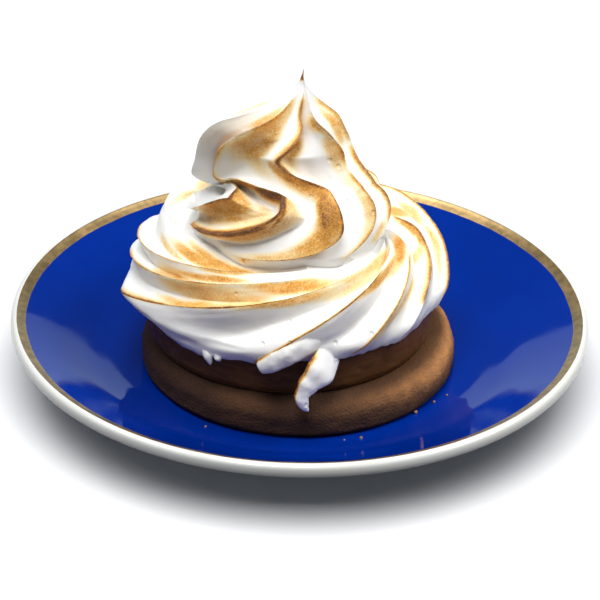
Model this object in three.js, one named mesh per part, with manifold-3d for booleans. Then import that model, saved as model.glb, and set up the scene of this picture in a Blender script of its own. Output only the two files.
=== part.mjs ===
// Lemon meringue tart on its side plate: a thick round biscuit, a disc of lemon
// curd and a two-tier swirl of toasted piped meringue.
// Millimetres, +Z up. The origin is the middle of the plate's foot, on the table,
// and -Y is the front of the tart.
import * as THREE from 'three';
import { mergeVertices } from 'three/addons/utils/BufferGeometryUtils.js';
import Module from 'manifold-3d';

const wasm = await Module();
wasm.setup();

// Plate: outlines of radius and height from the table
const WELL_TOP = 8;
const PLATE_UNDERSIDE = [[0, 2.2], [43, 2.2], [44, 0], [47.5, 0], [49, 3], [62, 6.9], [72, 12.1]];
const PLATE_LIP = [[79, 16.3], [80, 17.5], [80, 19.2], [79.4, 20], [78.5, 20.3], [77.8, 19.9]];
const PLATE_FACE = [
  [75.2, 18.6], [68, 15], [60, 11.2], [54.5, 9.3],
  [50.5, 8.3], [46, WELL_TOP], [0, WELL_TOP],
];
const PLATE_SEGMENTS = 64;

// Tart, heights from the plate's well
const TART_CENTRE = { x: -0.3, y: -5 };
const GAP = 0.3;
const BISCUIT = { radius: 43.4, top: 11, shoulder: 5.4, toe: 1.2 };
const CURD = { radius: 40.4, top: 23.4, offset: -2.8, edge: 1.4, undercut: 2.2, foot: 1.6 };
const ROUND_SEGMENTS = 60;
const SHOULDER_STEPS = 5;
const CURD_EDGE_STEPS = 2;

// Meringue, lower tier: the crest line of its ridges, from the skirt up and inwards
const LOWER_OFFSET = -3;
const LOWER_CREST = [
  [42.4, 22.4], [43.8, 27.2], [43.2, 32.4], [41.4, 36.8],
  [38.4, 40.4], [33.8, 42.8], [27, 42.4],
];
const LOWER_ROWS = 20;
const SKIRT_INSIDE = 41;
// Hollows between ridges, with the fractions of the crest line where they reach full
// depth and where they start to run out, and the place where a ridge's foot juts out
const LOWER_DEPTH = { foot: 1, wall: 4.2, top: 2.2 };
const LOWER_STATION = { jut: 0.1, jutSpread: 0.14, wall: 0.25, shoulder: 0.55 };
const LOWER_VALLEY = 0.68;
// Each ridge starts at a foot angle and climbs to the right, from 0 degrees at the
// front. A bend over 1 makes it start steep. Jut is how far its foot stands out. Rope is
// the shape of the hollow after it, from 0 for a rounded hollow between sharp crests to 1
// for a crease between rounded ridges.
const LOWER_RIDGES = [
  { foot: -161, climb: 172, bend: 1.2, jut: 0, rope: 0.5 },
  { foot: -132, climb: 172, bend: 1.2, jut: 0.6, rope: 0.5 },
  { foot: -88, climb: 158, bend: 1.2, jut: 3, rope: 0.15 },
  { foot: -11, climb: 86, bend: 1.4, jut: 0.8, rope: 0.2 },
  { foot: 23, climb: 60, bend: 1.2, jut: 0, rope: 0.4 },
  { foot: 43, climb: 58, bend: 1.2, jut: 0, rope: 0.4 },
  { foot: 75, climb: 75, bend: 1.2, jut: 0, rope: 0.4 },
  { foot: 116, climb: 104, bend: 1.2, jut: 0.5, rope: 0.4 },
  { foot: 160, climb: 138, bend: 1.2, jut: 0, rope: 0.4 },
];

// Meringue, upper tier: a ring, a neck above it and a crown drawn out to a peak
const UPPER_OFFSET = { ring: -3, crown: -6.6, peak: -0.4 };
const UPPER_CREST = [
  [23.5, 38], [27, 43.2], [28, 48], [28, 53], [26.2, 57.6], [22.8, 60.6],
  [19, 62.4], [16.7, 65.2], [15.6, 69.4], [12.4, 74.6], [6.6, 78.8], [3.4, 81.2],
  [1.5, 83.4], [0.7, 85.4],
];
const PEAK = { top: 88.2, lean: 0.5 };
// Rows are closer together where the ridges curl, at their feet and round the neck
const UPPER_ROWS = 42;
const UPPER_ROW_STOPS = [[0, 0], [3, 0.11], [12, 0.25], [17, 0.42], [31, 0.64], [UPPER_ROWS, 1]];
const UPPER_DEPTH = { foot: 1, ring: 6, crown: 4.8, tip: 0.2 };
// Fractions of the crest line's length: where a ridge leaves its foot, where the hollows
// of the ring are deepest, where a ridge is furthest right, where it turns back, the neck,
// the crown's widest place, and where the crown starts to draw in and to lean
const STATION = {
  foot: 0.12, ringDeep: 0.3, belly: 0.4, turn: 0.45, neck: 0.51, crown: 0.61, draw: 0.7, lean: 0.75,
};
// A ridge starts on its way to the tip this much before it is furthest back
const TURN_OVERLAP = 0.03;
// Each ridge is an S, with angles at its foot, belly, crown and tip, and turns at the
// fractions where it has swung back to the crown's angle and where it reaches the tip's.
// Stand is how far it stands out at the neck and at the crown. A larger curl keeps its foot
// low for longer. Hollow is the one after it: where it is deepest, across to the next
// ridge, its share of the full depth, and its rope on the ring.
const UPPER_RIDGES = [
  { angles: [-112, -42, -95, -40], turns: [0.57, 0.95], stand: [-1, 6], curl: 0.8, hollow: [0.8, 1, 0] },
  { angles: [-78, -5, -84, -8], turns: [0.57, 0.88], stand: [0, 3], curl: 1.8, hollow: [0.5, 1, 0.75] },
  { angles: [-26, 31, -1, 40], turns: [0.61, 0.77], stand: [-1, -1], curl: 6, hollow: [0.25, 1, 0.35] },
  { angles: [34, 58, 66, 52], turns: [0.61, 0.8], stand: [2, 3.2], curl: 3, hollow: [0.3, 1, 0.35] },
  { angles: [62, 78, 95, 105], turns: [0.61, 0.95], stand: [3, 3.5], curl: 2.5, hollow: [0.35, 0.9, 0.35] },
  { angles: [112, 128, 135, 140], turns: [0.61, 0.95], stand: [1, 0], curl: 2, hollow: [0.4, 0.6, 0.35] },
  { angles: [160, 182, 172, 185], turns: [0.61, 0.95], stand: [0, -6], curl: 2, hollow: [0.5, 0.6, 0.35] },
  { angles: [202, 262, 205, 240], turns: [0.61, 0.95], stand: [-1, -8], curl: 2, hollow: [0.5, 0.4, 0.2] },
];
// Where the ring and crown have slumped: the left, the back, and a lobe at the left
const SLUMPS = [
  { angle: -95, spread: 36, ring: 10, crown: 10 },
  { angle: 140, spread: 62, ring: 8, crown: 2 },
  { angle: -118, spread: 30, ring: 0, crown: 5 },
];
const SLUMP_END = 0.8;

const COLUMNS_PER_RIDGE = 8;
const CREST_SHARPNESS = 0.72;
const ROPE_ROUNDNESS = 1.6;

// Loose ends of ridges, at the front of the lower tier: a blunt finger and a ragged drip.
// Each point of a path is an angle, a height above the well, a distance from the tier's
// middle and a width. A larger bluntness, up to 1, keeps the strip wide for longer at its
// ends.
const LOOSE_ENDS = [
  {
    path: [[16, 31, 38.5, 6], [7, 28.4, 41.8, 6.4], [-2.5, 25, 43.4, 6.6], [-9.3, 21.9, 44, 6]],
    thickness: 4.4, bluntness: 0.8,
  },
  {
    path: [
      [22, 28, 36, 9], [16.5, 25, 41.4, 10], [12, 21.6, 44.2, 8.8], [8, 18.6, 45.2, 5.8],
      [5.4, 15.4, 45.8, 4.4], [6, 12.4, 46.2, 3.6], [7.6, 10.6, 46.4, 2],
    ],
    thickness: 3.2, bluntness: 0.6,
  },
];
const LOOSE_END_SIDES = 14;
const LOOSE_END_RINGS = 14;
// Slivers this small, where the pieces of meringue meet, are merged away
const SLIVER = 0.02;

const material = (color, roughness) => new THREE.MeshStandardMaterial({ color, roughness, metalness: 0 });
const GLAZE = material(0x10309c, 0.12);
const BAKED_BISCUIT = material(0x7a5230, 0.85);
const SET_CURD = material(0x8a5a22, 0.35);
const TOASTED_MERINGUE = material(0xf2e6d2, 0.6);

const { clamp, degToRad, lerp, smoothstep } = THREE.MathUtils;

// A lathe revolves about Y, with its seam to the front. This stands it up on Z.
function revolve(profile, segments) {
  const points = profile.map(([radius, height]) => new THREE.Vector2(radius, height));
  const geometry = new THREE.LatheGeometry(points, segments);
  geometry.rotateX(Math.PI / 2);
  return geometry;
}

// Quarter round from the outside of a rim to its top
function roundedEdge(radius, top, size, steps) {
  const points = [];
  for (let step = 0; step <= steps; step += 1) {
    const turn = (step / steps) * Math.PI / 2;
    const across = size * (1 - Math.cos(turn));
    points.push([radius - across, top - size + size * Math.sin(turn)]);
  }
  return points;
}

const plateGeometry = () => revolve([...PLATE_UNDERSIDE, ...PLATE_LIP, ...PLATE_FACE], PLATE_SEGMENTS);

function biscuitGeometry() {
  const { radius, top, shoulder, toe } = BISCUIT;
  const profile = [
    [0, GAP],
    [radius - toe, GAP],
    [radius, GAP + toe],
    ...roundedEdge(radius, top, shoulder, SHOULDER_STEPS),
    [0, top],
  ];
  return revolve(profile, ROUND_SEGMENTS);
}

function curdGeometry() {
  const { radius, top, edge, undercut, foot } = CURD;
  const bottom = BISCUIT.top + GAP;
  const profile = [
    [0, bottom],
    [radius - undercut, bottom],
    [radius - undercut / 2, bottom + foot],
    ...roundedEdge(radius, top, edge, CURD_EDGE_STEPS),
    [0, top],
  ];
  return revolve(profile, ROUND_SEGMENTS);
}

// Crest line of a tier, as a smooth curve of radius and height
const crestCurve = (stations) => new THREE.SplineCurve(stations.map(([r, z]) => new THREE.Vector2(r, z)));

// Outward normal of a crest line that runs upwards
function crestNormal(curve, along) {
  const tangent = curve.getTangentAt(along);
  return new THREE.Vector2(tangent.y, -tangent.x);
}

// How far the surface is sunk between two crests: 0 on a crest, 1 in the valley
function scoop(across, valley, rope) {
  const share = across < valley ? across / valley : (1 - across) / (1 - valley);
  return lerp(Math.sin((Math.PI / 2) * share) ** CREST_SHARPNESS, share ** ROPE_ROUNDNESS, rope);
}

// Angle of a lower ridge, in degrees
const lowerAngle = (ridge, along) => ridge.foot + ridge.climb * along ** ridge.bend;

// Angle of an upper ridge, in degrees: foot to belly, back to the crown, on to the tip
function upperAngle({ angles, turns, curl }, along) {
  const [foot, belly, crown, tip] = angles;
  const [back, end] = turns;
  const rise = clamp((along - STATION.foot) / (STATION.belly - STATION.foot), 0, 1);
  const ring = belly + (foot - belly) * (1 - rise) ** curl;
  const swungBack = lerp(ring, crown, smoothstep(along, STATION.turn, back));
  return swungBack + (tip - crown) * smoothstep(along, back - TURN_OVERLAP, end);
}

// How far the upper tier has slumped at an angle, in degrees
function slumpAt(degrees, along) {
  const gone = 1 - smoothstep(along, STATION.crown, SLUMP_END);
  const onCrown = smoothstep(along, STATION.turn, STATION.crown);
  return SLUMPS.reduce((total, { angle, spread, ring, crown }) => {
    const away = ((degrees - angle + 900) % 360) - 180;
    const depth = lerp(ring * smoothstep(along, STATION.foot, STATION.belly), crown, onCrown);
    return total + depth * gone * Math.exp(-((away / spread) ** 2));
  }, 0);
}

// Value between this ridge and the next one round, which is a full turn on at the end
function betweenRidges(ridges, column, value, wrap) {
  const index = Math.floor(column / COLUMNS_PER_RIDGE) % ridges.length;
  const next = (index + 1) % ridges.length;
  const step = (column % COLUMNS_PER_RIDGE) / COLUMNS_PER_RIDGE;
  const across = 0.5 - 0.5 * Math.cos(Math.PI * step);
  const end = value(ridges[next]) + (next === 0 ? wrap : 0);
  return { across, ridge: ridges[index], value: lerp(value(ridges[index]), end, across) };
}

function lowerPoint(curve, column, along) {
  const turn = betweenRidges(LOWER_RIDGES, column, (ridge) => lowerAngle(ridge, along), 360);
  const jut = betweenRidges(LOWER_RIDGES, column, (ridge) => ridge.jut, 0).value;
  const onWall = lerp(LOWER_DEPTH.foot, LOWER_DEPTH.wall, smoothstep(along, 0, LOWER_STATION.wall));
  const depth = lerp(onWall, LOWER_DEPTH.top, smoothstep(along, LOWER_STATION.shoulder, 1));
  const sunk = depth * scoop(turn.across, LOWER_VALLEY, turn.ridge.rope);
  const crest = curve.getPointAt(along);
  const normal = crestNormal(curve, along);
  const nearFoot = Math.exp(-(((along - LOWER_STATION.jut) / LOWER_STATION.jutSpread) ** 2));
  const radius = crest.x - sunk * normal.x + jut * nearFoot;
  return place(radius, crest.y - sunk * normal.y, turn.value, LOWER_OFFSET);
}

function upperPoint(curve, column, along) {
  const { ringDeep, belly, turn, neck, crown, draw, lean } = STATION;
  const angle = betweenRidges(UPPER_RIDGES, column, (ridge) => upperAngle(ridge, along), 360);
  const atNeck = betweenRidges(UPPER_RIDGES, column, (ridge) => ridge.stand[0], 0).value;
  const atCrown = betweenRidges(UPPER_RIDGES, column, (ridge) => ridge.stand[1], 0).value;
  const onCrown = smoothstep(along, turn, crown);
  const toTip = smoothstep(along, draw, 1);
  const standOut = lerp(atNeck * smoothstep(along, belly, neck), atCrown, smoothstep(along, neck, crown));
  const onRing = lerp(UPPER_DEPTH.foot, UPPER_DEPTH.ring, smoothstep(along, 0, ringDeep));
  const depth = lerp(lerp(onRing, UPPER_DEPTH.crown, onCrown), UPPER_DEPTH.tip, toTip);
  const [valley, share, rope] = angle.ridge.hollow;
  const sunk = depth * share * scoop(angle.across, valley, rope * (1 - onCrown));
  const crest = curve.getPointAt(along);
  const normal = crestNormal(curve, along);
  const radius = crest.x - sunk * normal.x + standOut * (1 - toTip);
  const height = crest.y - sunk * normal.y - slumpAt(angle.value, along);
  const settled = lerp(UPPER_OFFSET.ring, UPPER_OFFSET.crown, onCrown);
  return place(radius, height, angle.value, lerp(settled, UPPER_OFFSET.peak, smoothstep(along, lean, 1)));
}

function place(radius, height, degrees, offset) {
  const turn = degToRad(degrees);
  return new THREE.Vector3(offset + radius * Math.sin(turn), -radius * Math.cos(turn), height);
}

// A tier is a lathe whose rows and columns are moved onto the ridges. Below them are
// its bottom on the axis and the edge of its underside, and above them is its top.
function tierGeometry({ ridges, rows, offset, bottom, edge, top, surfacePoint }) {
  const columns = ridges.length * COLUMNS_PER_RIDGE;
  const last = rows + 3;
  const blank = Array.from({ length: last + 1 }, (_, row) => [row % last === 0 ? 0 : 1, row]);
  const geometry = revolve(blank, columns);
  const positions = geometry.attributes.position;
  for (let index = 0; index < positions.count; index += 1) {
    const column = Math.floor(index / blank.length) % columns;
    const row = index % blank.length;
    const point = surfacePoint(column, clamp(row - 2, 0, rows));
    if (row === 0) {
      point.set(offset, 0, bottom);
    } else if (row === 1) {
      const turn = Math.atan2(point.x - offset, -point.y);
      point.set(offset + edge * Math.sin(turn), -edge * Math.cos(turn), bottom);
    } else if (row === last) {
      point.copy(top);
    }
    positions.setXYZ(index, point.x, point.y, point.z);
  }
  return geometry;
}

function lowerTier() {
  const curve = crestCurve(LOWER_CREST);
  return tierGeometry({
    ridges: LOWER_RIDGES,
    rows: LOWER_ROWS,
    offset: LOWER_OFFSET,
    bottom: CURD.top + GAP,
    edge: SKIRT_INSIDE,
    top: new THREE.Vector3(LOWER_OFFSET, 0, LOWER_CREST.at(-1)[1]),
    surfacePoint: (column, row) => lowerPoint(curve, column, row / LOWER_ROWS),
  });
}

// Fraction of the upper crest line at a row
function upperRow(row) {
  const stop = Math.max(1, UPPER_ROW_STOPS.findIndex(([last]) => row <= last));
  const [[first, low], [last, high]] = [UPPER_ROW_STOPS[stop - 1], UPPER_ROW_STOPS[stop]];
  return lerp(low, high, (row - first) / (last - first));
}

function upperTier() {
  const curve = crestCurve(UPPER_CREST);
  const [radius, bottom] = UPPER_CREST[0];
  return tierGeometry({
    ridges: UPPER_RIDGES,
    rows: UPPER_ROWS,
    offset: UPPER_OFFSET.ring,
    bottom,
    edge: radius / 2,
    top: new THREE.Vector3(UPPER_OFFSET.peak + PEAK.lean, 0, PEAK.top),
    surfacePoint: (column, row) => upperPoint(curve, column, upperRow(row)),
  });
}

// A rounded strip along a path: a sphere drawn out along it
function looseEnd({ path, thickness, bluntness }) {
  const points = path.map(([degrees, height, radius]) => place(radius, height, degrees, LOWER_OFFSET));
  const curve = new THREE.CatmullRomCurve3(points);
  const geometry = new THREE.SphereGeometry(1, LOOSE_END_SIDES, LOOSE_END_RINGS);
  const positions = geometry.attributes.position;
  const unit = new THREE.Vector3();
  for (let index = 0; index < positions.count; index += 1) {
    unit.fromBufferAttribute(positions, index);
    const along = Math.acos(clamp(unit.y, -1, 1)) / Math.PI;
    const girth = Math.hypot(unit.x, unit.z);
    const size = girth > 0 ? girth ** -bluntness : 0;
    const station = Math.min(Math.floor(along * (path.length - 1)), path.length - 2);
    const width = lerp(path[station][3], path[station + 1][3], along * (path.length - 1) - station);
    const centre = curve.getPoint(along);
    const outward = new THREE.Vector3(centre.x - LOWER_OFFSET, centre.y, 0).normalize();
    const sideways = new THREE.Vector3().crossVectors(outward, curve.getTangent(along)).normalize();
    centre.addScaledVector(sideways, unit.x * size * width * 0.5);
    centre.addScaledVector(outward, unit.z * size * Math.min(thickness, width) * 0.5);
    positions.setXYZ(index, centre.x, centre.y, centre.z);
  }
  return geometry;
}

function solidOf(geometry) {
  const bare = geometry.clone();
  bare.deleteAttribute('normal');
  bare.deleteAttribute('uv');
  const merged = mergeVertices(bare, 1e-4);
  const corners = merged.index.array;
  const kept = [];
  for (let start = 0; start < corners.length; start += 3) {
    const [a, b, c] = corners.slice(start, start + 3);
    if (a !== b && b !== c && c !== a) {
      kept.push(a, b, c);
    }
  }
  const mesh = new wasm.Mesh({
    numProp: 3,
    vertProperties: new Float32Array(merged.attributes.position.array),
    triVerts: new Uint32Array(kept),
  });
  return new wasm.Manifold(mesh);
}

function geometryOf(solid) {
  const mesh = solid.getMesh();
  const geometry = new THREE.BufferGeometry();
  geometry.setAttribute('position', new THREE.BufferAttribute(new Float32Array(mesh.vertProperties), 3));
  geometry.setIndex(new THREE.BufferAttribute(new Uint32Array(mesh.triVerts), 1));
  geometry.computeVertexNormals();
  return geometry;
}

function meringueGeometry() {
  const solids = [lowerTier(), upperTier(), ...LOOSE_ENDS.map(looseEnd)].map(solidOf);
  const joined = solids.reduce((whole, solid) => whole.add(solid));
  return geometryOf(joined.simplify(SLIVER));
}

function piece(name, geometry, finish) {
  const mesh = new THREE.Mesh(geometry, finish);
  mesh.name = name;
  return mesh;
}

const tart = new THREE.Group();
tart.position.set(TART_CENTRE.x, TART_CENTRE.y, WELL_TOP);
tart.add(piece('crust', biscuitGeometry(), BAKED_BISCUIT));
const curd = piece('lemon_curd', curdGeometry(), SET_CURD);
curd.position.x = CURD.offset;
tart.add(curd);
tart.add(piece('meringue', meringueGeometry(), TOASTED_MERINGUE));

const dessert = new THREE.Group();
dessert.add(piece('plate', plateGeometry(), GLAZE));
dessert.add(tart);

export default dessert;
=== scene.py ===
"""Lemon meringue tart on a gold-banded side plate, dressed for a studio picture."""

import math
from collections import namedtuple

import bmesh
import bpy
import numpy as np
from mathutils import Euler, Matrix, Vector, noise


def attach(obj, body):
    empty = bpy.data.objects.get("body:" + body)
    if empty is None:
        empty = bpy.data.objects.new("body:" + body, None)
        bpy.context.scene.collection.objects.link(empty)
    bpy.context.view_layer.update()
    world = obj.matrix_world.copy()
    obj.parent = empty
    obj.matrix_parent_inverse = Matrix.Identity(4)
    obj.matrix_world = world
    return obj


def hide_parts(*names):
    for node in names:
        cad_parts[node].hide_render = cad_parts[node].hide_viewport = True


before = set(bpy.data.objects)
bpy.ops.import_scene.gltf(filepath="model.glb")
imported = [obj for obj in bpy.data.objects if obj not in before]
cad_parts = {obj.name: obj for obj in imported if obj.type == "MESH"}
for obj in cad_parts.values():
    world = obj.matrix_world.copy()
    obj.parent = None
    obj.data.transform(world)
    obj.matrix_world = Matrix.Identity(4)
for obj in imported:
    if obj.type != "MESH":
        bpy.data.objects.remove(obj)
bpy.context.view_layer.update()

bl_info = {
    "name": "Lemon meringue tart",
    "version": (1, 0, 0),
    "blender": (4, 5, 0),
    "location": "View3D > Sidebar > Tart",
    "description": "Builds a lemon meringue tart on a gold-banded side plate",
    "category": "Add Mesh",
}

MM = 0.001
BODY = "root"

# Plate outlines, radius and height in millimetres from the table. The underside's first points are
# the foot ring's, which stay sharp. The rest is drawn as smooth lines, and where the underside's
# line overlaps the lip's, a few points of each are dropped.
PLATE_UNDERSIDE = ((0, 2.2), (42.6, 2.2), (43.2, 1.8), (43.8, 0.3), (44.3, 0), (47.1, 0), (47.7, 0.4),
                   (48.7, 2.6), (49.6, 3.2), (55.5, 4.7), (62, 6.9), (67.2, 9.2), (72, 12.1))
PLATE_FOOT_POINTS = 8
PLATE_LIP = ((75.6, 14.1), (79, 16.3), (80, 17.5), (80, 19.2), (79.4, 20), (78.5, 20.3), (77.8, 19.9))
PLATE_FACE = ((75.2, 18.6), (68, 15), (60, 11.2), (54.5, 9.3), (50.5, 8.3), (46, 8), (38, 8))
LIP_JOINT = 3
UNDERSIDE_ROWS = 14
LIP_ROWS = 40
FACE_ROWS = 44
WELL_TOP = 8
# How far the gold band's inner edge wavers, and its half blur, in millimetres
BAND_WAVER = 0.9
BAND_BLUR = 0.08

# Tart, in millimetres from the plate's well. Angles are in degrees from the front. A wall and the rim
# of its top are cut into short runs. Faces next to other pieces stay smooth: the biscuit is lumpy only
# above and beyond the limits given here, and the curd bulges only above its foot and below its top.
BISCUIT_STEPS = 320
BISCUIT_RUN = 0.8
BISCUIT_TOE = 1.2
BISCUIT_RIM = 14
BISCUIT_FREE_ABOVE = (0.4, 2)
BISCUIT_FREE_BEYOND = (38, 42)
CURD_STEPS = 260
CURD_RUN = 0.7
CURD_UNDERCUT = 2.2
CURD_FOOT = 1.6
CURD_EDGE = 1.4
CURD_RIM = 10
CURD_FREE_FOOT = 1
CURD_FREE_BELOW = (21.5, 23.2)
# Layers of noise, each with its scale, seed and depth, and how far they are sunk as a whole
BISCUIT_LUMPS = ((130, 3, 0.35), (420, 5, 0.22), (1100, 7, 0.1))
BISCUIT_SINK = 0.3
CURD_BULGE = (110, 11, 0.45)
CURD_RIPPLE = (380, 13, 0.14)
CURD_SINK = 0.35
# Colour of the biscuit: dark below the first height and pale above the second, both from the table.
# Painted shade darkens it at the left and painted light pales it at the right, with a painted pool of
# light in between. Beside the curd, in a ring about the tart's middle, it is darker, partly moist and partly
# painted shade.
DARK_FOOT_HEIGHTS = (WELL_TOP + 4.5, WELL_TOP + 11.5)
PAINTED_SHADE_SIDES = (-34, 40)
PAINTED_SHADE_STEEPNESS = 4
Patch = namedtuple("Patch", "middle outer inner strength")
PAINTED_LIGHT_PATCH = Patch(-14, 11, 2, 0.13)
MOIST_AND_SHADED_RING = (42.6, 40.2)
MOISTNESS_AND_SHADE = 0.75
DARK_FLECK = (0.03, 0.014, 0.008)
CURD_STREAK = (0.5, 0.26, 0.08)

# Lower tier: how deep the hollows are at the foot, the wall and the top, and the shares of the crest
# line where they are as deep as on the wall, where the top begins and where a ridge juts out
LOWER_OFFSET = -3
LOWER_CREST = ((42.4, 22.4), (43.8, 27.2), (43.2, 32.4), (41.4, 36.8), (38.4, 40.4), (33.8, 42.8),
               (27, 42.4))
LOWER_DEPTH = (1, 4.2, 2.2)
LOWER_WALL = 0.25
LOWER_TOP = 0.55
LOWER_VALLEY = 0.68
JUT_ALONG = 0.1
JUT_TALL = 0.14
# Rope is the shape of the hollow after a ridge, from 0 for a rounded hollow between sharp crests
# to 1 for a crease between rounded ridges
ROPE_ROUNDNESS = 1.6
LowerRidge = namedtuple("LowerRidge", "foot climb bend jut rope")
LOWER_RIDGES = (
    LowerRidge(-161, 172, 1.2, 0, 0.5),
    LowerRidge(-132, 172, 1.2, 0.6, 0.5),
    LowerRidge(-88, 158, 1.2, 3, 0.8),
    LowerRidge(-11, 86, 1.4, 0.8, 0.75),
    LowerRidge(23, 60, 1.2, 0, 0.6),
    LowerRidge(43, 58, 1.2, 0, 0.4),
    LowerRidge(75, 75, 1.2, 0, 0.4),
    LowerRidge(116, 104, 1.2, 0.5, 0.4),
    LowerRidge(160, 138, 1.2, 0, 0.4),
)

# Skirt of the lower tier: its frayed edge, up to a share of the crest line, and where it hangs lower
# or higher, by angle, spread and depth
SKIRT_INSIDE = 41
SKIRT_TUCK = 0.8
SKIRT_EDGE = 0.14
SKIRT_FRAY = ((0.22, 8, 0.7), (0.6, 9, 0.35))
SKIRT_HANGS = ((-36, 13, 2.2), (-62, 12, -0.8))
# A crease in the skirt is a line from one angle and height to another, with its depth
Crease = namedtuple("Crease", "start low end high depth")
CREASES = (
    Crease(-52, 24.7, -32, 25.2, 0.55),
    Crease(-30, 25.7, -15, 27, 0.5),
    Crease(-62, 26, -56, 26.5, 0.35),
)
CREASE_WIDTH = 0.5
CREASE_WANDER = 0.4

# Upper tier: how far its middle is offset at the ring, the crown and the peak, and how deep the
# hollows are at the foot, the ring, the crown and the tip
UPPER_OFFSETS = (-3, -6.6, -0.4)
UPPER_CREST = ((23.5, 38), (27, 43.2), (28, 48), (28, 53), (26.2, 57.6), (22.8, 60.6), (19, 62.4),
               (16.7, 65.2), (15.6, 69.4), (12.4, 74.6), (6.6, 78.8), (3.4, 81.2), (1.2, 83.4), (0.4, 85.4))
UPPER_DEPTH = (1, 6, 4.8, 0.2)
PEAK_TOP = 88.2
PEAK_LEAN = 0.5
# Angles of an upper ridge, then the fractions of the crest line where it has swung back to
# the crown and where it reaches the tip, then how it stands out and how it is hollowed
UpperRidge = namedtuple("UpperRidge", "foot belly crown tip back end neck reach curl valley hollow rope")
UPPER_RIDGES = (
    UpperRidge(-112, -42, -95, -40, 0.57, 0.95, -1, 8, 0.8, 0.8, 1, 0),
    UpperRidge(-78, -5, -84, -8, 0.57, 0.88, 0, 3, 1.8, 0.5, 1, 0.75),
    UpperRidge(-26, 31, -1, 40, 0.61, 0.77, -1, -1, 6, 0.25, 1, 0.35),
    UpperRidge(34, 58, 66, 52, 0.61, 0.8, 2, 3.2, 3, 0.3, 1, 0.35),
    UpperRidge(62, 78, 95, 105, 0.61, 0.95, 3, 3.5, 2.5, 0.35, 0.9, 0.35),
    UpperRidge(112, 128, 135, 140, 0.61, 0.95, 1, 0, 2, 0.4, 0.6, 0.35),
    UpperRidge(160, 182, 172, 185, 0.61, 0.95, 0, -6, 2, 0.5, 0.6, 0.35),
    UpperRidge(202, 262, 205, 240, 0.61, 0.95, -1, -8, 2, 0.5, 0.4, 0.2),
)
# Fractions of the upper crest line where a ridge leaves its foot, where the ring is hollowed
# deepest, where a ridge is furthest right and turns back, the neck, the crown's widest
# place, and where the crown draws in and leans to the peak
Stations = namedtuple("Stations", "foot ring_deep belly turn neck crown draw lean")
STATION = Stations(0.12, 0.3, 0.4, 0.45, 0.51, 0.61, 0.7, 0.75)
TURN_OVERLAP = 0.03
Slump = namedtuple("Slump", "angle spread ring crown")
SLUMPS = (Slump(-95, 36, 10, 10), Slump(140, 62, 8, 2), Slump(-118, 30, 0, 6))
SLUMP_END = 0.8
# The crown's lobe that hangs over the neck is rounded about an angle and a share of the crest line
Lobe = namedtuple("Lobe", "angle spread along tall passes")
LOBE = Lobe(-112, 65, 0.59, 0.14, 40)
LOBE_SMOOTHING = 0.5
# Unevenness of the piping, as layers of noise, and how closely the nozzle's lines change across a
# hollow, along it and from one to the next
UNEVENNESS = ((0.11, 4, 0.4), (0.35, 6, 0.12))
NOZZLE_LINES = (9, 5, 3.7)

# Loose ends of ridges: points of angle, height, distance from the tier's middle and width, then
# the thickness, the bluntness of the ends and how burnt the upper edge is
LooseEnd = namedtuple("LooseEnd", "path thickness bluntness burnt")
FINGER = LooseEnd(
    ((16, 31, 38.5, 6), (7, 28.4, 41.8, 6.4), (-2.5, 25, 43.4, 6.6), (-9.3, 21.9, 44, 6)), 4.4, 0.8, 0.85)
DRIP = LooseEnd(
    ((22, 27, 35, 9), (17, 24.4, 40.2, 10), (12.4, 21.8, 44, 9.4), (8.2, 18.6, 45.2, 6.2),
     (5.4, 15.4, 45.8, 4.4), (6, 12.4, 46.2, 3.6), (7.6, 10.6, 46.4, 2)), 3.2, 0.6, 0.9)
DRIBBLES = (
    LooseEnd(
        ((-32, 23.4, 42, 2.8), (-29.6, 21.6, 42.4, 2.4), (-28.6, 20, 42.2, 1.7), (-28.4, 18.8, 42, 1.2)),
        1.6, 0.6, 0),
    LooseEnd(((-26, 23.2, 42.2, 2.2), (-25, 21.8, 42.4, 1.9), (-24.5, 20.8, 42.2, 1.3)), 1.5, 0.6, 0),
)
END_LUMPS = ((0.3, 8, 0.5), (0.8, 9, 0.2))
PATH_SAMPLES = 200

# Where the torch caught the meringue, with a little painted shadow in two blots marked below. A scorch
# is a dark line of a half width in millimetres along a ridge's crest, with a fade of so many
# millimetres before and after it. A blot lies in the hollow after a ridge, at a share of the way across it
# and up its length.
Scorch = namedtuple("Scorch", "ridge start end line wide before after tan")
Blot = namedtuple("Blot", "ridge across along wide tall slope tan")
UPPER_SCORCHES = (
    Scorch(0, 0.32, 0.5, 0.75, 0.4, 0.4, 3, 0.35),
    Scorch(1, 0.13, 0.5, 0.95, 0.9, 0.6, 1.7, 0.5),
    Scorch(1, 0.53, 0.9, 0.4, 0.35, 0.8, 1.5, 0.25),
    Scorch(2, 0.1, 0.47, 0.6, 0.35, 2, 0.4, 0.4),
    Scorch(2, 0.46, 0.64, 0.85, 0.7, 1.5, 1, 0.5),
    Scorch(2, 0.63, 0.9, 0.5, 0.35, 0.6, 0.8, 0.3),
    Scorch(3, 0.12, 0.52, 0.4, 0.35, 1.2, 0.3, 0.3),
    Scorch(3, 0.56, 0.8, 0.5, 0.35, 0.6, 0.3, 0.3),
    Scorch(4, 0.2, 0.57, 0.65, 0.4, 0.8, 0.3, 0.3),
    Scorch(4, 0.6, 0.85, 0.3, 0.5, 1.2, 0.5, 0.25),
    Scorch(5, 0.2, 0.55, 0.5, 0.4, 1.2, 0.5, 0.3),
    Scorch(6, 0.2, 0.55, 0.5, 0.4, 1.2, 0.5, 0.3),
)
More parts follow.
